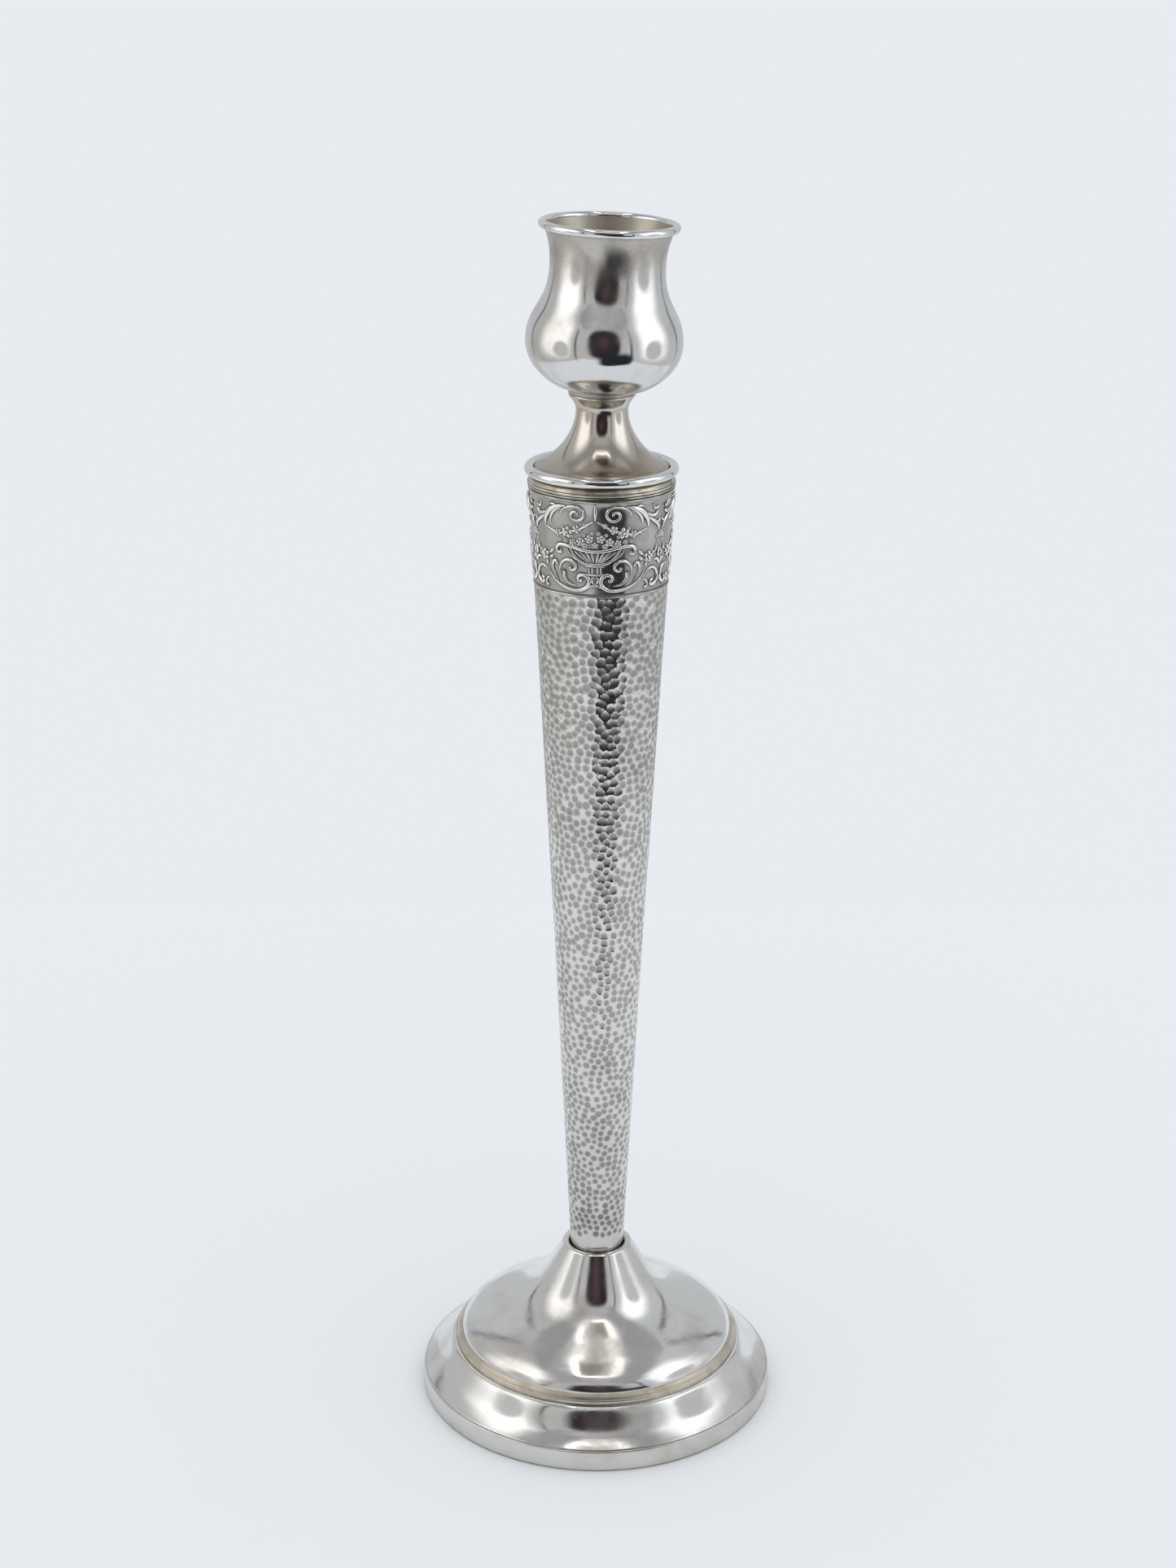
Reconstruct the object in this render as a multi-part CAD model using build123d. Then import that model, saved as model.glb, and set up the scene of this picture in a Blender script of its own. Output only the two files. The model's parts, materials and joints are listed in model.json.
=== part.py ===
from build123d import *
import os

# Altar candlestick: plated brass shells stacked on a weighted base and pulled together by a tie rod.
# Millimetres. The origin is the centre of the resting face and +Z is up.
# The shells are bodies of revolution, so outlines are (radius, height) pairs turned about Z.

# Foot: an upright band, a groove, a tight roll, then a gently swelling slope up to a flat flange.
foot_radius = 44.15
foot_wall = 1.0
foot_top = 13.3
band_height = 4.6
band_bulge = 0.25
band_round = 0.2
groove_depth = 1.1
groove_rise = 0.6
moulding_inset = 2.0
moulding_rise = 1.9
moulding_bulge = 0.75
slope_run = 5.95
slope_bulge = 0.63
flange_thickness = 1.0

# Underside: felt, a closing plate and the filling that gives the base its weight.
felt_thickness = 1.2
felt_proud = 0.25
felt_margin = 0.15
plate_thickness = 0.8
recess_radius = 9.0
recess_depth = 7.5

# Step ring between the foot and the dome.
ring_edge = 0.9
ring_height = 2.35
ledge_width = 1.95

# Dome: a rounded shoulder, a long hollow sweep and a straight neck with a rolled lip.
dome_height = 23.8
dome_edge = 1.25
dome_wall = 0.9
shoulder_run = 3.4
shoulder_rise = 3.1
shoulder_bulge = 0.44
sweep_radius = 13.2
sweep_hollow = 1.72
neck_run = 8.45
neck_step = 0.6
lip_round = 0.3

# Stem: a tapered tube that stands inside the dome's neck and leaves a gap all round.
stem_length = 178.8
stem_foot_radius = 6.34
stem_middle_radius = 10.78
stem_top_radius = 15.62
stem_wall = 1.0
stem_gap = 1.0
seat_thickness = 3.0
seat_margin = 2.7
spigot_length = 7.0

# Frieze band, with a raised line along each edge, and the sleeve that joins it to the stem.
frieze_height = 23.0
frieze_rise = 1.13
line_height = 0.8
line_proud = 0.15
sleeve_wall = 0.8
sleeve_reach = 6.0

# Ferrule, closing plate and collar bead.
ferrule_proud = 0.15
ferrule_height = 2.7
ferrule_wall = 2.45
shelf_width = 0.8
shelf_height = 1.1
bead_inset = 0.4
bead_wire_radius = 1.15
bead_flat = 0.1

# Spool: a skirt inside the bead, a hollow flare up to the waist and a flat table on top.
spool_height = 18.7
spool_wall = 0.8
skirt_height = 1.8
shoulder_width = 1.4
shoulder_height = 0.75
shoulder_pull = (-3.9, 1.9)
waist_radius = 6.0
waist_height = 14.65
waist_pull = 5.0
table_radius = 7.7
table_thickness = 0.7
table_flare = 0.35

# Candle cup: a tulip that leans towards +X, so its solder seat is a wedge.
cup_lean = 2.2
seat_middle = 0.6
cup_floor_radius = 7.7
cup_wall = 0.85
floor_pull = 2.25
belly_radius = 17.9
belly_height = 10.8
belly_pull_down = 7.0
belly_pull_up = 7.65
bore_radius = 12.2
bore_start = 25.6
bore_length = 4.4
throat_pull_down = 9.0
throat_pull_up = 4.8
rim_radius = 15.03
rim_height = 36.85
rim_wire_radius = 0.95
lip_inset = 0.13
lip_pull = (-0.8, -2.2)

# Tie rod, its two nuts and the clamp washer.
rod_radius = 3.0
rod_spare = 0.6
nut_width = 10.0
nut_height = 5.0
washer_radius = 8.0
washer_thickness = 1.5

# Heights that follow from the stack.
plate_top = felt_thickness + plate_thickness
recess_top = plate_top + recess_depth
moulding_height = band_height + moulding_rise
ring_top = foot_top + ring_height
dome_top = ring_top + dome_height
sweep_top = dome_top - neck_run
weight_top = sweep_top - neck_step
tube_foot = weight_top + seat_thickness
tube_top = tube_foot + stem_length
tube_middle = (tube_foot + tube_top) / 2
frieze_top = tube_top + frieze_height
ferrule_top = frieze_top + ferrule_height
spool_top = ferrule_top + spool_height
rod_bottom = recess_top - washer_thickness - nut_height - rod_spare
rod_top = ferrule_top + nut_height + rod_spare

# Radii that follow from their neighbours.
moulding_radius = foot_radius - moulding_inset
ring_radius = moulding_radius - slope_run
dome_foot_radius = ring_radius - ledge_width
ring_bore = dome_foot_radius - dome_edge
plate_radius = foot_radius - foot_wall
filling_radius = moulding_radius - foot_wall
filling_top_radius = sweep_radius - dome_wall
ferrule_radius = stem_top_radius + frieze_rise + line_proud + ferrule_proud
top_plate_radius = ferrule_radius - ferrule_wall
bead_radius = ferrule_radius - bead_inset
skirt_radius = bead_radius - bead_wire_radius
lip_radius = rim_radius - lip_inset

cup_place = Location((0, 0, spool_top + seat_middle), (0, cup_lean, 0))


def turned(edges):
    """Turn a closed outline of edges about Z."""
    return revolve(Plane.XZ * make_face(edges), Axis.Z)


def polygon(*points):
    return Polyline(*points, close=True)


def bulged(start, end, depth):
    """An arc that swells away from the axis when it is drawn upwards; hollow if depth is negative."""
    return SagittaArc(start, end, -depth)


def curve(start, start_pull, end, end_pull):
    """A cubic from start to end, where each pull is the (radius, height) offset of its handle."""
    first = (start[0] + start_pull[0], start[1] + start_pull[1])
    last = (end[0] + end_pull[0], end[1] + end_pull[1])
    return Bezier(start, first, last, end)


def disc(radius, bottom, top):
    return Pos(0, 0, bottom) * extrude(Circle(radius), top - bottom)


def hexagon_nut(bottom):
    blank = extrude(RegularPolygon(nut_width / 2, 6, major_radius=False), nut_height)
    return Pos(0, 0, bottom) * blank - disc(rod_radius, bottom, bottom + nut_height)


def clamp_washer():
    bottom = recess_top - washer_thickness
    return disc(washer_radius, bottom, recess_top) - disc(rod_radius, bottom, recess_top)


def stem_radius(height):
    """Outer radius of the tube, which has a slightly steeper taper in its upper half."""
    half = stem_length / 2
    if height < tube_middle:
        slope = (stem_middle_radius - stem_foot_radius) / half
    else:
        slope = (stem_top_radius - stem_middle_radius) / half
    return stem_middle_radius + slope * (height - tube_middle)


def stem_inside(height):
    return (stem_radius(height) - stem_wall, height)


def foot_inside():
    """The filling's side up to the flange, from the closing plate upwards."""
    low = (filling_radius, plate_top)
    high = (filling_radius, moulding_height - foot_wall / 2)
    flange = (ring_radius - foot_wall / 2, foot_top - flange_thickness)
    return [Line(low, high), bulged(high, flange, slope_bulge), Line(flange, (ring_bore, flange[1]))]


def dome_inside():
    return bulged((ring_bore, ring_top), (filling_top_radius, weight_top), -sweep_hollow)


def base_foot():
    edge = (foot_radius, felt_proud)
    band_top = (foot_radius, band_height)
    groove = (foot_radius - groove_depth, band_height + groove_rise)
    moulding = (moulding_radius, moulding_height)
    slope_end = (ring_radius, foot_top)
    outside = [
        bulged(edge, band_top, band_bulge),
        bulged(band_top, groove, band_round),
        bulged(groove, moulding, moulding_bulge),
        bulged(moulding, slope_end, slope_bulge),
        Polyline(slope_end, (ring_bore, foot_top), (ring_bore, foot_top - flange_thickness)),
    ]
    below = Polyline(edge, (plate_radius, felt_proud), (plate_radius, plate_top), (filling_radius, plate_top))
    return turned(outside + foot_inside() + [below])


def base_step_ring():
    return turned(
        polygon(
            (ring_bore, foot_top),
            (ring_radius, foot_top),
            (ring_radius, foot_top + ring_edge),
            (dome_foot_radius, ring_top),
            (ring_bore, ring_top),
        )
    )


def base_dome():
    foot = (dome_foot_radius, ring_top)
    shoulder = (dome_foot_radius - shoulder_run, ring_top + shoulder_rise)
    sweep_end = (sweep_radius, sweep_top)
    opening = stem_radius(dome_top) + stem_gap
    lip_bottom = dome_top - lip_round
    lip = (opening + dome_wall, lip_bottom)
    outside = [
        bulged(foot, shoulder, shoulder_bulge),
        bulged(shoulder, sweep_end, -sweep_hollow),
        Line(sweep_end, lip),
        bulged(lip, (opening, lip_bottom), lip_round),
    ]
    inside = Polyline(
        (opening, lip_bottom),
        (opening, lip_bottom - dome_wall),
        (filling_top_radius, weight_top),
    )
    return turned(outside + [inside, dome_inside(), Line((ring_bore, ring_top), foot)])


def base_weight():
    flange_bottom = foot_top - flange_thickness
    filling = turned(
        foot_inside()
        + [
            Line((ring_bore, flange_bottom), (ring_bore, ring_top)),
            dome_inside(),
            Polyline((filling_top_radius, weight_top), (0, weight_top), (0, plate_top)),
            Line((0, plate_top), (filling_radius, plate_top)),
        ]
    )
    filling -= disc(recess_radius, plate_top, recess_top)
    return filling - disc(rod_radius, recess_top, weight_top)


def stem_seat():
    """The disc that carries the tube, with a spigot that fits inside the tube's foot."""
    spigot_top = tube_foot + spigot_length
    spigot_inside = (rod_radius, spigot_top)
    spigot = turned(
        polygon((rod_radius, tube_foot), stem_inside(tube_foot), stem_inside(spigot_top), spigot_inside)
    )
    plate = disc(filling_top_radius - seat_margin, weight_top, tube_foot)
    return plate - disc(rod_radius, weight_top, tube_foot) + spigot


def stem_tube():
    heights = (tube_foot, tube_middle, tube_top)
    outside = [(stem_radius(height), height) for height in heights]
    inside = [stem_inside(height) for height in reversed(heights)]
    return turned(polygon(*outside, *inside))


def stem_sleeve():
    low = stem_inside(tube_top - sleeve_reach)
    high = stem_inside(tube_top + sleeve_reach)
    return turned(polygon(low, high, (high[0] - sleeve_wall, high[1]), (low[0] - sleeve_wall, low[1])))


def frieze_band():
    low = stem_top_radius
    high = stem_top_radius + frieze_rise
    return turned(
        polygon(
            stem_inside(tube_top),
            (low + line_proud, tube_top),
            (low + line_proud, tube_top + line_height),
            (low, tube_top + line_height),
            (high, frieze_top - line_height),
            (high + line_proud, frieze_top - line_height),
            (high + line_proud, frieze_top),
            stem_inside(frieze_top),
        )
    )


def top_ferrule():
    shelf_top = frieze_top + shelf_height
    shelf_bore = top_plate_radius - shelf_width
    body = disc(ferrule_radius, frieze_top, ferrule_top)
    body -= disc(top_plate_radius, shelf_top, ferrule_top)
    return body - disc(shelf_bore, frieze_top, shelf_top)


def top_plate():
    shelf_top = frieze_top + shelf_height
    return disc(top_plate_radius, shelf_top, ferrule_top) - disc(rod_radius, shelf_top, ferrule_top)


def collar_bead():
    """A ring wire with a narrow flat filed on its underside, where it is soldered down."""
    centre = ferrule_top + bead_wire_radius - bead_flat
    wire = Pos(0, 0, centre) * Torus(bead_radius, bead_wire_radius)
    return wire - disc(ferrule_radius + bead_wire_radius, ferrule_top - bead_wire_radius, ferrule_top)


def neck_spool():
    skirt_top = ferrule_top + skirt_height
    skirt_inside = skirt_radius - spool_wall
    shoulder = (skirt_radius - shoulder_width, skirt_top + shoulder_height)
    waist = (waist_radius, ferrule_top + waist_height)
    table_bottom = spool_top - table_thickness
    outside = [
        Polyline((skirt_radius, ferrule_top), (skirt_radius, skirt_top), shoulder),
        curve(shoulder, shoulder_pull, waist, (0, -waist_pull)),
        bulged(waist, (table_radius, table_bottom), -table_flare),
        Polyline((table_radius, table_bottom), (table_radius, spool_top), (0, spool_top), (0, table_bottom)),
    ]
    low = (shoulder[0] - spool_wall / 2, shoulder[1] - spool_wall)
    high = (waist_radius - spool_wall, waist[1])
    inside = [
        Polyline((0, table_bottom), (high[0], table_bottom), high),
        curve(high, (0, -waist_pull), low, shoulder_pull),
        Polyline(low, (skirt_inside, skirt_top - spool_wall / 2), (skirt_inside, ferrule_top)),
        Line((skirt_inside, ferrule_top), (skirt_radius, ferrule_top)),
    ]
    return turned(outside + inside)


def rim_wire():
    return Pos(0, 0, rim_height) * Torus(rim_radius, rim_wire_radius)


def cup_solder_seat():
    """Solder that fills the wedge between the flat table and the leaning cup's floor."""
    blank = disc(table_radius, spool_top, spool_top + 3 * seat_middle)
    return blank - cup_place * disc(2 * table_radius, 0, table_radius)


def cup_outside():
    floor = (cup_floor_radius, 0)
    belly = (belly_radius, belly_height)
    waist = (bore_radius + cup_wall, bore_start + bore_length / 2)
    return [
        Line((0, 0), floor),
        curve(floor, (floor_pull, 0), belly, (0, -belly_pull_down)),
        curve(belly, (0, belly_pull_up), waist, (0, -throat_pull_down)),
        curve(waist, (0, throat_pull_up), (lip_radius, rim_height), lip_pull),
    ]


def cup_inside():
    """The hollow, from the lip down to the floor: the bore is a true cylinder."""
    lip = (lip_radius - cup_wall, rim_height)
    bore_top = (bore_radius, bore_start + bore_length)
    bore_bottom = (bore_radius, bore_start)
    belly = (belly_radius - cup_wall, belly_height)
    floor = (cup_floor_radius, cup_wall)
    half_bore = bore_length / 2
    return [
        curve(lip, lip_pull, bore_top, (0, throat_pull_up - half_bore)),
        Line(bore_top, bore_bottom),
        curve(bore_bottom, (0, half_bore - throat_pull_down), belly, (0, belly_pull_up - cup_wall)),
        curve(belly, (0, cup_wall / 2 - belly_pull_down), floor, (floor_pull, 0)),
        Polyline(floor, (0, cup_wall), (0, 0)),
    ]


def candle_cup():
    rim_seat = Line((lip_radius, rim_height), (lip_radius - cup_wall, rim_height))
    shell = turned(cup_outside() + [rim_seat] + cup_inside())
    return cup_place * (shell - rim_wire())


nodes = {
    "felt_pad": disc(plate_radius - felt_margin, 0, felt_thickness),
    "base_plate": disc(plate_radius, felt_thickness, plate_top),
    "base_foot": base_foot(),
    "base_step_ring": base_step_ring(),
    "base_dome": base_dome(),
    "base_weight": base_weight(),
    "clamp_washer": clamp_washer(),
    "clamp_nut": hexagon_nut(recess_top - washer_thickness - nut_height),
    "tie_rod": disc(rod_radius, rod_bottom, rod_top),
    "stem_seat": stem_seat(),
    "stem_tube": stem_tube(),
    "stem_sleeve": stem_sleeve(),
    "frieze_band": frieze_band(),
    "top_ferrule": top_ferrule(),
    "top_plate": top_plate(),
    "top_nut": hexagon_nut(ferrule_top),
    "collar_bead": collar_bead(),
    "neck_spool": neck_spool(),
    "cup_solder_seat": cup_solder_seat(),
    "candle_cup": candle_cup(),
    "cup_rim_wire": cup_place * rim_wire(),
}

os.makedirs("parts", exist_ok=True)
for name, shape in nodes.items():
    export_step(shape, f"parts/{name}.step")
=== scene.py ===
import json
import math
import random

import bpy
import numpy as np
from mathutils import Matrix, Vector, kdtree


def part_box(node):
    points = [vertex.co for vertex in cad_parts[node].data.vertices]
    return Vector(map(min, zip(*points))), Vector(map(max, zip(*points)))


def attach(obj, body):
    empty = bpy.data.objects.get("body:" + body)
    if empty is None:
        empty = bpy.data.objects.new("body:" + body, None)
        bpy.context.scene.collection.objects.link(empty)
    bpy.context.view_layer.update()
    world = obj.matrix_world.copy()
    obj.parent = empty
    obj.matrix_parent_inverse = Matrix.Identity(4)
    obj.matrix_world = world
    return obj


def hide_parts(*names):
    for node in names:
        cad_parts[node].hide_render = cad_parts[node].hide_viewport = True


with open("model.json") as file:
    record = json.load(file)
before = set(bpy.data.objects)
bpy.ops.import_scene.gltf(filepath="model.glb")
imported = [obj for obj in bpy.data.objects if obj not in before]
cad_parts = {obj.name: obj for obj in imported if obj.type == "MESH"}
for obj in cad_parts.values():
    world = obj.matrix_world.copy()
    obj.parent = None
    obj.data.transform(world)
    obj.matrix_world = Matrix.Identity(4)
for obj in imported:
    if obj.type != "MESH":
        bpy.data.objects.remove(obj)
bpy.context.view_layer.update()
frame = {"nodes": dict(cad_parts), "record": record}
mm = 0.001

# what the frame says about each place
socketAxis = next(m["axis"] for m in frame["record"]["mounts"] if m["name"] == "candle_socket")
cupLean = math.asin(socketAxis[0])


def footOf(node):
    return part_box(node)[0].z


def topOf(node):
    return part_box(node)[1].z


def deselectAll():
    if bpy.context.mode != "OBJECT":
        bpy.ops.object.mode_set(mode="OBJECT")
    bpy.ops.object.select_all(action="DESELECT")


def applyPlace(piece):
    deselectAll()
    piece.select_set(True)
    bpy.context.view_layer.objects.active = piece
    bpy.ops.object.transform_apply(location=True, rotation=True, scale=True)


def applyModifiers(piece):
    deselectAll()
    piece.select_set(True)
    bpy.context.view_layer.objects.active = piece
    for modifier in list(piece.modifiers):
        bpy.ops.object.modifier_apply(modifier=modifier.name)


# A turned outline is a list of (radius, height) steps in millimetres. Two numbers go straight there,
# three go there on an arc that swells outwards by the third, four go on a curve with two handle pulls.
def handlesTo(start, step):
    end = Vector((step[0], step[1]))
    chord = end - start
    if len(step) == 2:
        return start + chord / 3, end - chord / 3, end
    if len(step) == 4:
        return start + Vector(step[2]), end + Vector(step[3]), end
    out = Vector((chord.y, -chord.x)).normalized() * step[2] * 4 / 3
    return start + chord / 3 + out, end - chord / 3 + out, end


# a run through (radius, height, slope) places, each slope in degrees up from flat towards the axis
def flowing(places):
    steps = []
    for (r0, z0, slope0), (r1, z1, slope1) in zip(places, places[1:]):
        reach = math.hypot(r1 - r0, z1 - z0) / 3
        leave = (-reach * math.cos(math.radians(slope0)), reach * math.sin(math.radians(slope0)))
        arrive = (reach * math.cos(math.radians(slope1)), -reach * math.sin(math.radians(slope1)))
        steps.append((r1, z1, leave, arrive))
    return steps


def drawOutline(name, outline, base, closed, fineness):
    deselectAll()
    bpy.ops.curve.primitive_bezier_curve_add(radius=1, location=(0, 0, 0))
    drawn = bpy.context.object
    drawn.name = name
    spline = drawn.data.splines[0]
    spline.bezier_points.add(len(outline) - 2)
    steps = outline[1:] + ([outline[0][:2]] if closed else [])
    corners = [Vector(outline[0][:2])]
    leave, arrive = [], [Vector(outline[0][:2])]
    for step in steps:
        first, second, end = handlesTo(corners[-1], step)
        leave.append(first)
        arrive.append(second)
        corners.append(end)
    if closed:
        arrive[0] = arrive[-1]
    else:
        leave.append(corners[-1])
    for index, point in enumerate(spline.bezier_points):
        point.handle_left_type = point.handle_right_type = "FREE"
        for field, flat in (("co", corners), ("handle_left", arrive), ("handle_right", leave)):
            setattr(point, field, (flat[index].x * mm, 0, base + flat[index].y * mm))
    spline.use_cyclic_u = closed
    drawn.data.dimensions = "3D"
    drawn.data.resolution_u = fineness
    bpy.ops.object.convert(target="MESH")
    return bpy.context.object


def spinRound(piece, turns):
    bpy.ops.object.mode_set(mode="EDIT")
    bpy.ops.mesh.select_all(action="SELECT")
    bpy.ops.mesh.spin(steps=turns, angle=2 * math.pi, center=(0, 0, 0), axis=(0, 0, 1))
    bpy.ops.mesh.select_all(action="SELECT")
    bpy.ops.mesh.remove_doubles(threshold=1e-6)
    bpy.ops.mesh.normals_make_consistent(inside=False)
    bpy.ops.object.mode_set(mode="OBJECT")
    bpy.ops.object.shade_smooth_by_angle(angle=math.radians(38))
    return piece


def turnedPiece(name, outline, base, closed=True, fineness=10, turns=224):
    return spinRound(drawOutline(name, outline, base, closed, fineness), turns)


# Old spun silver is never quite true: slow wobbles of (size, depth, seed) bend its reflections.
def handMade(piece, wobbles):
    for size, depth, seed in wobbles:
        texture = bpy.data.textures.new(piece.name + "Wobble", "CLOUDS")
        texture.noise_scale = size
        texture.noise_depth = 1
        place = bpy.data.objects.new(piece.name + "WobblePlace", None)
        place.location = (seed * 0.37, seed * 0.11, seed * 0.53)
        bpy.context.scene.collection.objects.link(place)
        wobble = piece.modifiers.new("wobble", "DISPLACE")
        wobble.texture = texture
        wobble.texture_coords = "OBJECT"
        wobble.texture_coords_object = place
        wobble.strength = depth
        wobble.mid_level = 0.5
        bpy.context.view_layer.update()
        applyModifiers(piece)
        bpy.data.objects.remove(place)


def finishPiece(piece, name, material, slotName, *nodes):
    piece.name = name
    piece.data.name = name
    piece.data.materials.clear()
    piece.data.materials.append(material)
    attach(piece, "root")
    if nodes:
        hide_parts(*nodes)
    return piece


def newMaterial(name):
    material = bpy.data.materials.new(name)
    material.use_nodes = True
    nodes = material.node_tree.nodes
    return material, nodes, material.node_tree.links, nodes["Principled BSDF"]


def noiseNode(nodes, links, coords, scale, detail, stretch=(1, 1, 1), roughness=0.55):
    mapping = nodes.new("ShaderNodeMapping")
    mapping.inputs["Scale"].default_value = stretch
    links.new(coords, mapping.inputs["Vector"])
    noise = nodes.new("ShaderNodeTexNoise")
    noise.inputs["Scale"].default_value = scale
    noise.inputs["Detail"].default_value = detail
    noise.inputs["Roughness"].default_value = roughness
    links.new(mapping.outputs["Vector"], noise.inputs["Vector"])
    return noise.outputs["Fac"]


def rangeNode(nodes, links, value, low, high, toLow, toHigh, smooth=True):
    spread = nodes.new("ShaderNodeMapRange")
    spread.interpolation_type = "SMOOTHSTEP" if smooth else "LINEAR"
    for field, number in (("From Min", low), ("From Max", high), ("To Min", toLow), ("To Max", toHigh)):
        spread.inputs[field].default_value = number
    links.new(value, spread.inputs["Value"])
    return spread.outputs["Result"]


def mathNode(nodes, links, operation, first, second):
    node = nodes.new("ShaderNodeMath")
    node.operation = operation
    node.use_clamp = operation in ("ADD", "MULTIPLY", "MAXIMUM")
    for index, value in enumerate((first, second)):
        if isinstance(value, (int, float)):
            node.inputs[index].default_value = value
        else:
            links.new(value, node.inputs[index])
    return node.outputs["Value"]


def mixColours(nodes, links, factor, first, second):
    mix = nodes.new("ShaderNodeMix")
    mix.data_type = "RGBA"
    links.new(factor, mix.inputs["Factor"])
    for socket, colour in ((mix.inputs[6], first), (mix.inputs[7], second)):
        if isinstance(colour, tuple):
            socket.default_value = (*colour, 1)
        else:
            links.new(colour, socket)
    return mix.outputs[2]


def objectCoords(nodes):
    return nodes.new("ShaderNodeTexCoord").outputs["Object"]


def addBump(nodes, links, shader, height, strength, distance):
    bump = nodes.new("ShaderNodeBump")
    bump.inputs["Strength"].default_value = strength
    bump.inputs["Distance"].default_value = distance
    links.new(height, bump.inputs["Height"])
    links.new(bump.outputs["Normal"], shader.inputs["Normal"])


# what every silver finish starts from: each finish below changes some of it
plainSilver = {
    "clean": (0.76, 0.755, 0.745),
    "darkTone": (0.42, 0.38, 0.32),
    "roughness": (0.14, 0.30),
    "tarnishRoughness": 0.25,
    "cloudScale": 70,
    "cloudEdges": (0.42, 0.78),
    "cloudTarnish": 0.35,
    "darkenedHeights": (),
    "attribute": "",
    # recess: painted shade in recesses, a darkening taken from ambient occlusion that also stands for dirt
    # there
    "recess": 0,
    "recessReach": 0.0007,
    "speckScale": 900,
    "speckEdges": (0.70, 0.78),
    "specks": 0.4,
    "handlingScale": 160,
    "handlingEdges": (0.3, 0.7),
    "scratchScale": 420,
    "scratchStretch": (1, 1, 9),
    "scratchShare": 0.6,
    "grainScale": 5200,
    "grainShare": 0.25,
    "bump": 0.10,
    "bumpDistance": 0.0001,
}


# Silver plate: clean metal darkened by a tarnish that gathers in clouds and where it is told to (by height,
# by a mesh attribute and in recesses, some of it painted shade), fine wiping scratches and a few specks.
def silverPlate(name, changes):
    look = {**plainSilver, **changes}
    material, nodes, links, shader = newMaterial(name)
    coords = objectCoords(nodes)
    clouds = noiseNode(nodes, links, coords, look["cloudScale"], 4)
    factor = rangeNode(nodes, links, clouds, *look["cloudEdges"], 0, look["cloudTarnish"])
    # bands of height that darken the colour, each given as (low, high, amount)
    for low, high, amount in look["darkenedHeights"]:
        height = nodes.new("ShaderNodeSeparateXYZ")
        links.new(coords, height.inputs["Vector"])
        band = rangeNode(nodes, links, height.outputs["Z"], low, high, 0, amount)
        factor = mathNode(nodes, links, "ADD", factor, band)
    # a mesh attribute darkens the colour: painted shade in the stem's hammer dimples, and painted shade
    # with some tarnish inside the cup
    if look["attribute"]:
        attribute = nodes.new("ShaderNodeAttribute")
        attribute.attribute_name = look["attribute"]
        low, high = look["attributeSpan"]
        marked = rangeNode(nodes, links, attribute.outputs["Fac"], low, high, 0, look["attributeDarkening"])
        factor = mathNode(nodes, links, "ADD", factor, marked)
    # painted shade in recesses: ambient occlusion darkens the colour in crevices, standing also for dirt
    # there
    if look["recess"]:
        crevice = nodes.new("ShaderNodeAmbientOcclusion")
        crevice.samples = 6
        crevice.inputs["Distance"].default_value = look["recessReach"]
        recessShadeAndDirt = rangeNode(nodes, links, crevice.outputs["AO"], 0.5, 1.0, look["recess"], 0, False)
        factor = mathNode(nodes, links, "ADD", factor, recessShadeAndDirt)
    specks = noiseNode(nodes, links, coords, look["speckScale"], 2)
    speckFactor = rangeNode(nodes, links, specks, *look["speckEdges"], 0, look["specks"])
    factor = mathNode(nodes, links, "ADD", factor, speckFactor)
    links.new(mixColours(nodes, links, factor, look["clean"], look["darkTone"]), shader.inputs["Base Color"])
    shader.inputs["Metallic"].default_value = 1.0
    handling = noiseNode(nodes, links, coords, look["handlingScale"], 5)
    rough = rangeNode(nodes, links, handling, *look["handlingEdges"], *look["roughness"])
    dullness = mathNode(nodes, links, "MULTIPLY", factor, look["tarnishRoughness"])
    links.new(mathNode(nodes, links, "ADD", rough, dullness), shader.inputs["Roughness"])
    scratches = noiseNode(nodes, links, coords, look["scratchScale"], 3, look["scratchStretch"])
    scratches = mathNode(nodes, links, "MULTIPLY", scratches, look["scratchShare"])
    grain = noiseNode(nodes, links, coords, look["grainScale"], 2)
    grain = mathNode(nodes, links, "MULTIPLY", grain, look["grainShare"])
    relief = mathNode(nodes, links, "ADD", scratches, grain)
    addBump(nodes, links, shader, relief, look["bump"], look["bumpDistance"])
    return material


feltLook = {
    "green": (0.035, 0.11, 0.055),
    "worn": (0.09, 0.17, 0.09),
    "shade": (0.02, 0.06, 0.03),
    "fibreScale": 2600,
    "patchScale": 60,
    "roughness": 0.95,
    "sheen": 0.4,
    "bump": 0.7,
}


def feltMaterial(name, look):
    material, nodes, links, shader = newMaterial(name)
    coords = objectCoords(nodes)
    fibres = noiseNode(nodes, links, coords, look["fibreScale"], 6, (1, 1, 1), 0.7)
    patches = noiseNode(nodes, links, coords, look["patchScale"], 4)
    wear = rangeNode(nodes, links, patches, 0.35, 0.75, 0, 0.5)
    green = mixColours(nodes, links, wear, look["green"], look["worn"])
    between = rangeNode(nodes, links, fibres, 0.35, 0.7, 0, 1)
    links.new(mixColours(nodes, links, between, green, look["shade"]), shader.inputs["Base Color"])
    shader.inputs["Roughness"].default_value = look["roughness"]
    shader.inputs["Sheen Weight"].default_value = look["sheen"]
    addBump(nodes, links, shader, fibres, look["bump"], 0.0003)
    return material


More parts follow.
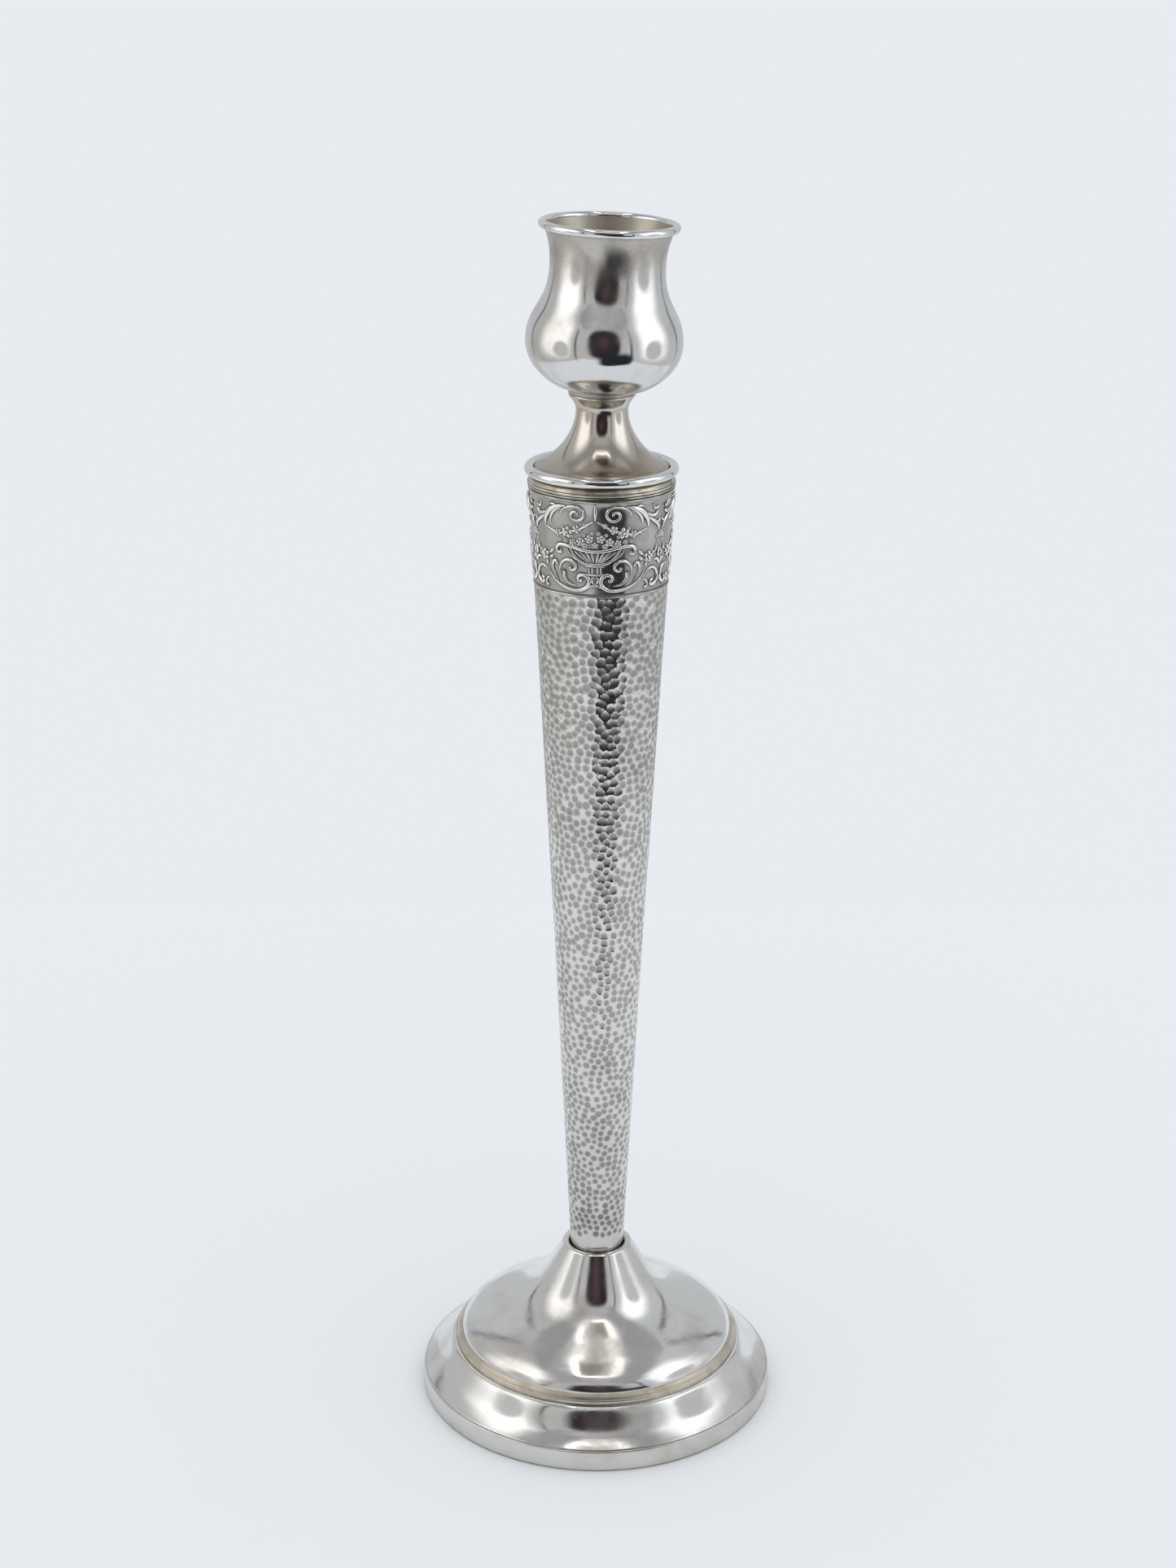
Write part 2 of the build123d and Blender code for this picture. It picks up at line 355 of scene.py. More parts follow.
# a plain worked material for what is hidden inside: two tones, grain and a little bump
def hiddenMaterial(name, look):
    material, nodes, links, shader = newMaterial(name)
    coords = objectCoords(nodes)
    grain = noiseNode(nodes, links, coords, look["scale"], 6, look.get("stretch", (1, 1, 1)))
    stain = noiseNode(nodes, links, coords, 90, 4)
    grainTone = rangeNode(nodes, links, grain, 0.35, 0.7, 0, 0.6)
    tone = mathNode(nodes, links, "ADD", grainTone, rangeNode(nodes, links, stain, 0.45, 0.75, 0, 0.6))
    links.new(mixColours(nodes, links, tone, look["light"], look["dark"]), shader.inputs["Base Color"])
    links.new(rangeNode(nodes, links, grain, 0.3, 0.75, *look["roughness"]), shader.inputs["Roughness"])
    shader.inputs["Metallic"].default_value = look["metallic"]
    addBump(nodes, links, shader, grain, look["bump"], 0.0002)
    return material


ferruleFoot, ferruleTop = footOf("top_ferrule"), topOf("top_ferrule")
cupFoot = topOf("neck_spool")
stemLow, stemHigh = footOf("stem_tube"), topOf("stem_tube")
plated = silverPlate(
    "softSilver",
    {
        "clean": (0.80, 0.795, 0.785),
        "roughness": (0.07, 0.18),
        "cloudTarnish": 0.42,
        "specks": 0.6,
        "recess": 0.45,
        "recessReach": 0.001,
        # the upright band below the groove is duller
        "darkenedHeights": ((0.0057, 0.0052, 0.25),),
    },
)
cupSilver = silverPlate(
    "cupSilver",
    {
        "roughness": (0.05, 0.16),
        "cloudTarnish": 0.5,
        "cloudScale": 110,
        "recess": 0.6,
        "recessReach": 0.0008,
        # the inner wall painted darker: painted shade inside the cup, with some tarnish
        "attribute": "inside",
        "attributeSpan": (0.1, 1.0),
        "attributeDarkening": 0.8,
        # darker in the cup's lowest few millimetres and towards its rim
        "darkenedHeights": (
            (cupFoot + 0.0045, cupFoot + 0.0005, 0.6),
            (cupFoot + 0.022, cupFoot + 0.036, 0.6),
        ),
    },
)
neckSilver = silverPlate(
    "neckSilver",
    {
        "clean": (0.66, 0.62, 0.56),
        "darkTone": (0.30, 0.25, 0.18),
        "cloudTarnish": 0.5,
        "roughness": (0.06, 0.15),
        # darker towards the neck's foot, just above the ferrule
        "darkenedHeights": ((ferruleTop + 0.008, ferruleTop + 0.001, 0.5),),
    },
)
polished = silverPlate(
    "polishedWire",
    {
        "clean": (0.80, 0.81, 0.81),
        "roughness": (0.03, 0.08),
        "cloudTarnish": 0.15,
        "specks": 0.2,
        "bump": 0.06,
    },
)
# painted shade in the hammer dimples: the hollows are painted darker, the net between them stays lighter
hammered = silverPlate(
    "hammeredSilver",
    {
        "clean": (0.78, 0.765, 0.735),
        "darkTone": (0.14, 0.135, 0.12),
        "roughness": (0.08, 0.16),
        "cloudTarnish": 0.2,
        "attribute": "hollow",
        "attributeSpan": (0.2, 0.85),
        "attributeDarkening": 0.58,
        # darker towards the stem's bottom
        "darkenedHeights": ((stemLow + 0.05, stemLow, 0.22),),
        "specks": 0.3,
    },
)
# the frieze ground is painted darker than the plate elsewhere: painted shade round the relief
shadedFriezeGround = silverPlate(
    "shadedFriezeGround",
    {
        "clean": (0.52, 0.51, 0.49),
        "darkTone": (0.08, 0.07, 0.055),
        "roughness": (0.10, 0.22),
        "cloudTarnish": 0.35,
        "cloudScale": 160,
        "recess": 1.5,
        "recessReach": 0.0008,
    },
)
# the raised strokes are painted lighter than the plate elsewhere: painted highlight
litFriezeRelief = silverPlate(
    "litFriezeRelief",
    {
        "clean": (0.95, 0.94, 0.92),
        "darkTone": (0.10, 0.09, 0.07),
        "roughness": (0.10, 0.18),
        "cloudTarnish": 0.12,
        "cloudScale": 300,
        "recess": 1.1,
        "recessReach": 0.0004,
    },
)
# the flowers are painted lighter too: painted highlight
litFriezeBloom = silverPlate(
    "litFriezeBloom",
    {
        "clean": (0.96, 0.95, 0.93),
        "darkTone": (0.08, 0.07, 0.055),
        "roughness": (0.1, 0.18),
        "cloudTarnish": 0.1,
        "recess": 0.8,
        "recessReach": 0.0002,
    },
)
wornFerrule = silverPlate(
    "wornFerrule",
    {
        "clean": (0.72, 0.70, 0.62),
        "darkTone": (0.16, 0.12, 0.06),
        "cloudTarnish": 0.7,
        "cloudScale": 240,
        "recess": 1.0,
        "recessReach": 0.0006,
        "roughness": (0.12, 0.26),
        # painted shade under the bead's overhang, with tarnish: the ferrule's top edge is darkened
        "darkenedHeights": ((ferruleTop - 0.0012, ferruleTop - 0.0002, 0.8),),
    },
)
wornBrass = silverPlate(
    "wornBrass",
    {
        "clean": (0.62, 0.565, 0.48),
        "darkTone": (0.40, 0.33, 0.24),
        "roughness": (0.28, 0.42),
        "cloudTarnish": 0.7,
        "cloudScale": 220,
    },
)
solderGrey = silverPlate(
    "solderGrey",
    {"clean": (0.55, 0.53, 0.50), "darkTone": (0.25, 0.23, 0.20), "roughness": (0.35, 0.5)},
)
baize = feltMaterial("greenBaize", feltLook)
print("materials ready")


# the foot: an upright band, a groove and a swelling slope
foot = {
    "outline": [
        (43.15, 0.25),
        (43.95, 0.25),
        (44.15, 0.5, 0.06),
        (44.12, 4.95, 0.1),
        (43.85, 5.35, 0.08),
        (43.5, 5.4),
        (43.5, 5.62, 0.04),
    ]
    + flowing(
        [
            (43.5, 5.62, 33),
            (42.6, 6.22, 35),
            (41.3, 7.18, 38),
            (40.2, 8.16, 46),
            (38.2, 10.65, 54),
            (36.9, 12.35, 49),
            (36.3, 12.88, 28),
        ]
    )
    + [
        (36.15, 13.3, 0.05),
        (33.0, 13.3),
        (33.0, 12.3),
        (35.4, 12.3),
        (39.6, 7.3, -0.1),
        (42.6, 4.6),
        (42.6, 2.0),
        (43.15, 2.0),
    ],
    "wobbles": ((0.018, 0.00012, 3), (0.005, 0.00003, 4)),
}
footPiece = turnedPiece("foot", foot["outline"], 0)
handMade(footPiece, foot["wobbles"])
finishPiece(footPiece, "foot_shell", plated, "plated_base", "base_foot")

# the step ring, its plating worn through
stepRing = {
    "outline": [
        (33.0, 0),
        (35.7, 0),
        (35.7, 0.5),
        (35.4, 1.1, 0.1),
        (34.5, 2.15, 0.08),
        (34.2, 2.35, 0.03),
        (33.0, 2.35),
    ],
    "wobbles": ((0.012, 0.00008, 5),),
}
ringPiece = turnedPiece("ring", stepRing["outline"], footOf("base_step_ring"), fineness=6)
handMade(ringPiece, stepRing["wobbles"])
finishPiece(ringPiece, "step_ring", wornBrass, "worn_brass", "base_step_ring")

# the dome: a flat crown, a sweep up and a rolled lip that the stem stands in
dome = {
    "outline": [(33.0, 15.65), (34.2, 15.65)]
    + flowing(
        [
            (34.2, 15.65, 82),
            (33.5, 16.95, 53),
            (32.0, 18.4, 40),
            (29.5, 20.05, 30),
            (26.0, 21.8, 25),
            (22.0, 23.7, 27),
            (19.0, 25.4, 33),
            (16.6, 27.3, 43),
            (14.5, 29.7, 54),
            (12.6, 32.6, 58),
            (8.75, 39.0, 60),
        ]
    )
    + [
        (8.3, 39.4, 0.06),
        (7.2, 39.35, 0.12),
        (6.88, 38.9, 0.05),
        (6.88, 38.0),
        (11.9, 30.9),
        (19.0, 23.8),
        (33.0, 16.6),
    ],
    "wobbles": ((0.02, 0.00012, 7), (0.005, 0.00002, 8)),
}
domePiece = turnedPiece("dome", dome["outline"], 0, fineness=18)
handMade(domePiece, dome["wobbles"])
finishPiece(domePiece, "dome_shell", plated, "plated_base", "base_dome")

# the pad glued under the foot
felt = {
    "outline": [(0, 0), (42.3, 0), (43.0, 0.5, 0.2), (43.0, 1.2), (0, 1.2)],
    "wobbles": ((0.004, 0.00008, 11),),
}
feltPiece = turnedPiece("felt", felt["outline"], 0, closed=False, fineness=8, turns=160)
handMade(feltPiece, felt["wobbles"])
finishPiece(feltPiece, "baize_pad", baize, "green_felt", "felt_pad")
print("base ready")


# the stem: a tube struck all over with a round-faced hammer, made in two lengths
stem = {
    "footRadius": 6.34,
    "middleRadius": 10.78,
    "topRadius": 15.62,
    "wall": 1.0,
    "lengths": {"stem_lower": (0.0, 0.5, 216, 340), "stem_upper": (0.5, 1.0, 280, 274)},
    "plainFoot": 11.0,  # how far up the first marks stand
    "spacingFoot": 1.9,
    "spacingTop": 2.3,
    "reachFoot": 0.57,
    "reachTop": 0.64,
    "rowStep": 0.86,
    "drift": 0.42,
    "force": (0.9, 1.12),
    "depth": 0.1,  # of a mark where the spacing is depthSpacing
    "depthSpacing": 1.8,
    "bowlPower": 1.35,
    "rounds": 4,
    "neighbours": 6,
    "push": 0.55,
    "seed": 8,
}
stemHeight = (stemHigh - stemLow) / mm


def stemRadius(share):
    if share < 0.5:
        return stem["footRadius"] + (stem["middleRadius"] - stem["footRadius"]) * share * 2
    return stem["middleRadius"] + (stem["topRadius"] - stem["middleRadius"]) * (share * 2 - 1)


def spacingAt(share):
    return stem["spacingFoot"] + (stem["spacingTop"] - stem["spacingFoot"]) * share


# blow centres stand in rings, each pushed out of line: (angle, height, spacing, force)
def hammerBlows():
    dice = random.Random(stem["seed"])
    drift = stem["drift"]
    blows = []
    height = stem["plainFoot"]
    while height < stemHeight + 1:
        share = min(height / stemHeight, 1)
        spacing = spacingAt(share)
        count = round(math.tau * stemRadius(share) / spacing)
        slide = dice.uniform(0, 1)
        for index in range(count):
            angle = math.tau * (index + slide + dice.uniform(-drift, drift)) / count
            up = height + spacing * dice.uniform(-drift, drift)
            blows.append((angle % math.tau, up, spacing, dice.uniform(*stem["force"])))
        height += spacing * stem["rowStep"]
    return blows


# the smith keeps the marks apart: close neighbours push each other away
def evenOut(blows):
    for turn in range(stem["rounds"]):
        radii = [stemRadius(min(max(up / stemHeight, 0), 1)) for angle, up, spacing, force in blows]
        centres = [(r * math.cos(blow[0]), r * math.sin(blow[0]), blow[1]) for blow, r in zip(blows, radii)]
        tree = kdtree.KDTree(len(blows))
        for index, centre in enumerate(centres):
            tree.insert(centre, index)
        tree.balance()
        moved = []
        for (angle, up, spacing, force), radius, centre in zip(blows, radii, centres):
            pushAcross = pushUp = 0
            for place, other, distance in tree.find_n(centre, stem["neighbours"] + 1)[1:]:
                if distance < spacing:
                    across = ((angle - blows[other][0] + math.pi) % math.tau - math.pi) * radius
                    share = 0.5 * (spacing - distance) / max(distance, 0.05)
                    pushAcross += across * share
                    pushUp += (up - blows[other][1]) * share
            turned = angle + pushAcross * stem["push"] / radius
            moved.append((turned % math.tau, up + pushUp * stem["push"], spacing, force))
        blows = moved
    return blows


# depth of the hammering and its two slopes on a grid of rows up the length and columns round it
def strikeGrid(blows, low, high, columns, rows):
    depth = np.zeros((rows + 1, columns))
    along = np.zeros_like(depth)
    upwards = np.zeros_like(depth)
    pitch = (high - low) / rows
    power = stem["bowlPower"]
    for angle, height, spacing, force in blows:
        share = min(height / stemHeight, 1)
        reach = (stem["reachFoot"] + (stem["reachTop"] - stem["reachFoot"]) * share) * spacing * force
        radius = stemRadius(share)
        first = max(math.ceil((height - reach - low) / pitch), 0)
        last = min(math.floor((height + reach - low) / pitch), rows)
        if first > last:
            continue
        span = reach / radius / math.tau * columns
        middle = angle / math.tau * columns
        around = np.arange(math.ceil(middle - span), math.floor(middle + span) + 1)
        up = np.arange(first, last + 1)
        dx = ((around - middle) * math.tau / columns * radius)[None, :]
        dz = (low + up * pitch - height)[:, None]
        left = np.clip(1 - (dx * dx + dz * dz) / reach**2, 0, None)
        bowl = stem["depth"] * force * spacing / stem["depthSpacing"]
        dent = bowl * left**power
        steep = -2 * power * bowl / reach**2 * left ** (power - 1)
        place = np.ix_(up, around % columns)
        deeper = dent > depth[place]
        for grid, value in ((along, steep * dx), (upwards, steep * dz), (depth, dent)):
            grid[place] = np.where(deeper, value, grid[place])
    return depth, along, upwards


def hammerLength(name, blows):
    start, end, columns, rows = stem["lengths"][name]
    low, high = start * stemHeight, end * stemHeight
    outline = [(stemRadius(start), low), (stemRadius(end), high)]
    piece = spinRound(drawOutline(name, outline, stemLow, False, rows), columns)
    mesh = piece.data
    depth, along, upwards = strikeGrid(blows, low, high, columns, rows)
    taperSlope = (stemRadius(end) - stemRadius(start)) / (high - low)
    places = np.empty(len(mesh.vertices) * 3)
    mesh.vertices.foreach_get("co", places)
    places = places.reshape(-1, 3)
    angle = np.arctan2(places[:, 1], places[:, 0])
    column = np.round(angle / math.tau * columns).astype(int) % columns
    rise = ((places[:, 2] - stemLow) / mm - low) / (high - low)
    row = np.clip(np.round(rise * rows).astype(int), 0, rows)
    outward = np.stack([np.cos(angle), np.sin(angle)], 1)
    places[:, :2] -= outward * (depth[row, column] * mm)[:, None]
    mesh.vertices.foreach_set("co", places.ravel())
    # the hollow share darkens each dimple in its material: painted shade in the hammer marks
    hollow = mesh.attributes.new("hollow", "FLOAT", "POINT")
    shares = np.clip((low + row * (high - low) / rows) / stemHeight, 0, 1)
    deepest = stem["depth"] * spacingAt(shares) / stem["depthSpacing"]
    hollow.data.foreach_set("value", (depth[row, column] / deepest).astype(np.float32))
    sideways = along[row, column]
    normals = np.stack(
        [
            outward[:, 0] - outward[:, 1] * sideways,
            outward[:, 1] + outward[:, 0] * sideways,
            upwards[row, column] - taperSlope,
        ],
        1,
    )
    normals /= np.linalg.norm(normals, axis=1)[:, None]
    # both ends turn in to the wall's thickness, and a plain bore closes the length
    bpy.context.view_layer.objects.active = piece
    bpy.ops.object.mode_set(mode="EDIT")
    bpy.ops.mesh.select_all(action="DESELECT")
    bpy.ops.mesh.select_non_manifold()
    bpy.ops.mesh.extrude_edges_move()
    bpy.ops.object.mode_set(mode="OBJECT")
    for vertex in mesh.vertices:
        if vertex.select:
            radius = math.hypot(vertex.co.x, vertex.co.y)
            inner = (radius - stem["wall"] * mm) / radius
            vertex.co.x *= inner
            vertex.co.y *= inner
    bpy.ops.object.mode_set(mode="EDIT")
    bpy.ops.mesh.bridge_edge_loops()
    bpy.ops.mesh.select_all(action="SELECT")
    bpy.ops.mesh.normals_make_consistent(inside=False)
    bpy.ops.object.mode_set(mode="OBJECT")
    bpy.ops.object.shade_smooth()
    given = np.zeros((len(mesh.vertices), 3))
    given[: len(normals)] = normals
    mesh.normals_split_custom_set_from_vertices(given)
    return finishPiece(piece, name, hammered, "hammered_plate", "stem_tube")


allBlows = evenOut(hammerBlows())
for lengthName in stem["lengths"]:
    hammerLength(lengthName, allBlows)
print("stem ready, blows:", len(allBlows))


# the frieze: the band, then its ornament drawn flat and wrapped round
frieze = {
    "outline": [
        (14.62, 0),
        (15.5, 0),
        (15.78, 0.3, 0.08),
        (15.52, 0.72, 0.06),
        (15.64, 0.95, -0.03),
        (16.68, 22.1),
        (16.9, 22.35, -0.03),
        (16.9, 22.85, 0.05),
        (16.6, 23.0, 0.03),
        (15.87, 23.0),
    ],
    "height": 23,
    "fieldFoot": 15.6,
    "fieldRise": 1.13,
    "meanRadius": 16.2,
    "repeats": 3,
    "turn": math.radians(-5.2),
    "strokeSwell": 1.5,
    "flowerSwell": 1.12,
}
friezeLow = footOf("frieze_band")
bandPiece = turnedPiece("frieze", frieze["outline"], friezeLow, fineness=8, turns=240)
finishPiece(bandPiece, "frieze_ground", shadedFriezeGround, "plated_frieze", "frieze_band")


# A stroke is a list of (across, up) points in millimetres with its thickness at the start, middle and
# end. The strokes make one half of a repeat, 16.96 mm wide, and its mirror image makes the other.
halfMotif = [
    (
        [(8.3, 19.1), (7.8, 20.3), (6.6, 21.05), (5.0, 21.4), (3.4, 21.1), (2.6, 20.0),
         (2.9, 18.8), (3.9, 18.2), (5.0, 18.45), (5.6, 19.3), (5.0, 20.1), (4.15, 20.0),
         (4.0, 19.4)],
        0.10,
        0.26,
        0.24,
    ),
    (
        [(6.8, 21.35), (8.9, 21.0), (10.8, 20.1), (12.0, 18.8), (12.7, 17.5), (12.8, 16.1)],
        0.14,
        0.48,
        0.08,
    ),
    ([(8.2, 20.75), (9.8, 19.9), (10.9, 18.5), (11.2, 17.0)], 0.1, 0.3, 0.08),
    ([(9.2, 20.9), (10.4, 21.35), (11.7, 21.0)], 0.22, 0.24, 0.06),
    ([(11.0, 20.0), (13.0, 18.95), (14.9, 18.7), (15.5, 19.4)], 0.2, 0.3, 0.22),
    ([(12.3, 18.7), (14.4, 17.4), (16.0, 16.1), (16.5, 14.8)], 0.2, 0.34, 0.08),
    ([(14.9, 17.1), (16.0, 16.9), (16.6, 17.6)], 0.18, 0.24, 0.1),
    ([(14.0, 21.3), (14.6, 20.2), (15.7, 20.4)], 0.1, 0.26, 0.18),
    (
        [(0.4, 18.1), (1.8, 17.3), (3.7, 16.1), (6.4, 15.4), (9.0, 14.8), (11.0, 15.4),
         (12.5, 15.9)],
        0.14,
        0.2,
        0.1,
    ),
    ([(9.9, 15.0), (10.9, 16.1)], 0.12, 0.34, 0.06),
    ([(10.4, 15.2), (11.6, 14.6)], 0.12, 0.34, 0.06),
    (
        [(0, 11.05), (1.8, 11.15), (3.8, 11.55), (5.8, 12.0), (7.7, 12.2), (9.0, 11.9),
         (9.4, 11.0), (8.9, 10.35), (8.2, 10.5), (8.25, 11.05)],
        0.3,
        0.32,
        0.22,
    ),
    ([(5.9, 11.75), (4.8, 9.9), (3.4, 8.7), (2.1, 8.15), (0, 8.0)], 0.22, 0.26, 0.26),
    ([(6.9, 12.0), (6.0, 10.4), (4.6, 9.2), (3.0, 8.4)], 0.1, 0.2, 0.08),
    ([(0, 7.65), (2.1, 7.65)], 0.24, 0.24, 0.2),
    ([(0, 5.6), (2.1, 5.6)], 0.24, 0.24, 0.2),
    ([(1.35, 7.3), (1.25, 6.6), (1.35, 5.95)], 0.16, 0.16, 0.16),
    ([(0.62, 7.3), (0.62, 5.95)], 0.2, 0.3, 0.2),
    ([(0.2, 5.2), (0.75, 4.3), (0.2, 3.3)], 0.12, 0.26, 0.1),
    ([(0, 3.1), (1.0, 2.9), (1.9, 2.2)], 0.22, 0.22, 0.1),
    (
        [(3.0, 4.3), (3.7, 4.1), (4.0, 4.9), (3.2, 5.5), (2.1, 5.3), (1.4, 4.4), (1.5, 3.3),
         (2.4, 2.3), (3.8, 1.8), (5.8, 1.85), (8.2, 2.5), (10.2, 3.7), (11.6, 5.2),
         (12.1, 6.6)],
        0.24,
        0.34,
        0.06,
    ),
    ([(4.2, 2.85), (6.1, 3.25), (7.3, 4.5), (7.5, 6.1)], 0.08, 0.26, 0.36),
    (
        [(8.6, 5.2), (8.6, 7.0), (7.7, 8.3), (6.3, 8.8), (5.0, 8.35), (4.5, 7.4), (5.0, 6.55),
         (5.9, 6.65), (5.85, 7.3)],
        0.1,
        0.28,
        0.24,
    ),
    ([(9.7, 4.6), (10.7, 6.6), (10.4, 7.9), (9.6, 8.0), (9.5, 7.3)], 0.08, 0.3, 0.22),
    ([(9.0, 3.5), (9.9, 4.6), (10.2, 5.8)], 0.1, 0.24, 0.08),
    (
        [(12.2, 5.2), (13.4, 6.1), (15.0, 6.2), (16.2, 5.1), (16.3, 3.6), (15.4, 2.4),
         (14.4, 2.3), (14.1, 3.1), (14.8, 3.5)],
        0.06,
        0.32,
        0.24,
    ),
    ([(11.9, 3.9), (13.0, 3.2), (12.9, 2.2), (12.2, 1.9)], 0.1, 0.24, 0.2),
    ([(16.96, 2.0), (16.96, 4.6)], 0.1, 0.3, 0.1),
    ([(16.96, 7.0), (16.2, 8.0), (15.0, 8.0)], 0.24, 0.3, 0.1),
    ([(16.96, 10.6), (16.4, 9.4), (16.9, 8.3)], 0.1, 0.32, 0.12),
    ([(14.3, 9.6), (15.4, 10.4), (15.6, 11.6)], 0.1, 0.26, 0.08),
    ([(11.8, 9.6), (10.9, 10.3), (10.3, 10.9)], 0.12, 0.3, 0.08),
    ([(11.9, 8.7), (11.0, 8.9), (10.4, 9.5)], 0.12, 0.3, 0.08),
    ([(12.9, 8.0), (12.4, 7.3), (12.9, 6.7)], 0.1, 0.26, 0.06),
]
# (across, up, size) of each little five-petalled flower
halfFlowers = [
    (2.2, 17.1, 0.55), (4.2, 16.1, 0.95), (6.5, 15.3, 1.25), (8.9, 14.9, 0.85),
    (7.7, 16.3, 0.45), (5.3, 14.5, 0.45), (1.3, 14.0, 0.95), (3.3, 13.3, 0.95),
    (5.2, 13.0, 0.8), (6.9, 13.2, 0.6), (8.3, 13.3, 0.42), (2.3, 12.3, 0.7),
    (4.3, 12.3, 0.45), (0.75, 15.3, 0.5), (2.5, 14.9, 0.42), (13.1, 9.1, 1.25),
    (15.9, 13.4, 0.5), (16.3, 12.3, 0.4),
]
centreFlowers = [(0, 12.5, 0.75), (16.96, 13.9, 0.75)]


def taper(share, start, middle, end):
    if share < 0.5:
        return start + (middle - start) * math.sin(share * math.pi)
    return end + (middle - end) * math.sin(share * math.pi)


def drawStrokes(name, strokes, sides, fineness):
    deselectAll()
    bpy.ops.curve.primitive_bezier_curve_add(radius=1, location=(0, 0, 0))
    drawn = bpy.context.object
    drawn.name = name
    drawn.data.splines.clear()
    for points, start, middle, end in strokes:
        spline = drawn.data.splines.new("BEZIER")
        spline.bezier_points.add(len(points) - 1)
        for index, (across, up) in enumerate(points):
            point = spline.bezier_points[index]
            point.co = (across * mm, 0, up * mm)
            point.handle_left_type = point.handle_right_type = "AUTO"
            point.radius = frieze["strokeSwell"] * taper(index / (len(points) - 1), start, middle, end)
    drawn.data.dimensions = "3D"
    drawn.data.resolution_u = fineness
    drawn.data.bevel_depth = mm
    drawn.data.bevel_resolution = sides
    drawn.data.use_fill_caps = True
    bpy.ops.object.convert(target="MESH")
    return bpy.context.object


def addBall(across, up, proud, size, flat):
    deselectAll()
    bpy.ops.mesh.primitive_uv_sphere_add(
        segments=7, ring_count=4, radius=size * mm, location=(across * mm, -proud * mm, up * mm)
    )
    ball = bpy.context.object
    ball.rotation_euler = (math.pi / 2, 0, 0)
    ball.scale = (1, 1, flat)
    applyPlace(ball)
    return ball


def joinAll(pieces):
    deselectAll()
    for piece in pieces:
        piece.select_set(True)
    bpy.context.view_layer.objects.active = pieces[0]
    bpy.ops.object.join()
    return bpy.context.object


# petals round a button, modelled once at a radius of one millimetre
flowerParts = {
    "petals": 5,
    "turn": 0.3,
    "petalPlace": 0.6,
    "petalSize": 0.42,
    "petalFlat": 0.8,
    "buttonProud": 0.24,
    "buttonSize": 0.32,
    "buttonFlat": 0.9,
}


def modelFlower():
    parts = flowerParts
    petals = []
    for index in range(parts["petals"]):
        angle = math.tau * index / parts["petals"] + parts["turn"]
        across, up = parts["petalPlace"] * math.cos(angle), parts["petalPlace"] * math.sin(angle)
        petals.append(addBall(across, up, 0, parts["petalSize"], parts["petalFlat"]))
    button = addBall(0, 0, parts["buttonProud"], parts["buttonSize"], parts["buttonFlat"])
    return joinAll(petals + [button])


def copyTo(piece, across, up, size, turn):
    twin = piece.copy()
    twin.data = piece.data.copy()
    bpy.context.scene.collection.objects.link(twin)
    turned = Matrix.Rotation(turn, 4, "Y") @ Matrix.Scale(size * frieze["flowerSwell"], 4)
    twin.data.transform(Matrix.Translation((across * mm, 0, up * mm)) @ turned)
    return twin


def mirrored(piece):
    twin = piece.copy()
    twin.data = piece.data.copy()
    bpy.context.scene.collection.objects.link(twin)
    twin.data.transform(Matrix.Scale(-1, 4, (1, 0, 0)))
    twin.data.flip_normals()
    return twin


def wrapRound(piece, turn):
    for vertex in piece.data.vertices:
        across, depth, up = vertex.co.x / mm, -vertex.co.y / mm, vertex.co.z / mm
        radius = (frieze["fieldFoot"] + frieze["fieldRise"] * up / frieze["height"] + depth) * mm
        angle = turn + across / frieze["meanRadius"]
        vertex.co = (radius * math.sin(angle), -radius * math.cos(angle), friezeLow + up * mm)


def wrapRepeats(half, middle, name):
    whole = joinAll([half, mirrored(half)] + middle)
    copies = []
    for repeat in range(frieze["repeats"]):
        twin = whole.copy()
        twin.data = whole.data.copy()
        bpy.context.scene.collection.objects.link(twin)
        wrapRound(twin, frieze["turn"] + math.tau * repeat / frieze["repeats"])
        copies.append(twin)
    bpy.data.objects.remove(whole)
    piece = joinAll(copies)
    piece.name = name
    deselectAll()
    piece.select_set(True)
    bpy.ops.object.shade_smooth()
    return piece


flutes = [
    ([(0.55 * k, 8.5), (1.15 * k, 9.8), (1.75 * k, 11.0)], 0.12, 0.22, 0.16) for k in (0.5, 1.25, 2, 2.75)
]
centreStrokes = [([(0, 22.0), (0.05, 20.4), (0, 18.2)], 0.1, 0.3, 0.14)]
scrollHalf = drawStrokes("scrolls", halfMotif + flutes, 1, 5)
scrollPiece = wrapRepeats(scrollHalf, [drawStrokes("torch", centreStrokes, 1, 5)], "frieze_scrolls")
finishPiece(scrollPiece, "frieze_scrolls", litFriezeRelief, "plated_frieze", "frieze_band")

flower = modelFlower()
halfHeap = joinAll([copyTo(flower, across, up, size, across * 5) for across, up, size in halfFlowers])
middleHeap = [copyTo(flower, across, up, size, 0) for across, up, size in centreFlowers]
bpy.data.objects.remove(flower)
flowerPiece = wrapRepeats(halfHeap, middleHeap, "frieze_flowers")
finishPiece(flowerPiece, "frieze_flowers", litFriezeBloom, "plated_frieze", "frieze_band")
print("frieze ready")


# the plain ferrule over the frieze, with one turned line
ferrule = {
    "outline": [
        (14.6, 0),
        (16.6, 0),
        (17.05, 0.22, 0.06),
        (17.05, 0.5),
        (16.86, 0.62),
        (17.05, 0.74),
        (17.05, 1.15, 0.05),
        (16.8, 1.3),
        (16.85, 1.5, 0.05),
        (16.5, 2.3, -0.1),
        (16.2, 2.7),
        (14.6, 2.7),
    ],
    "wobbles": ((0.008, 0.0001, 13),),
}
ferrulePiece = turnedPiece("ferrule", ferrule["outline"], ferruleFoot, fineness=6)
handMade(ferrulePiece, ferrule["wobbles"])
finishPiece(ferrulePiece, "ferrule", wornFerrule, "tarnished_plate", "top_ferrule")


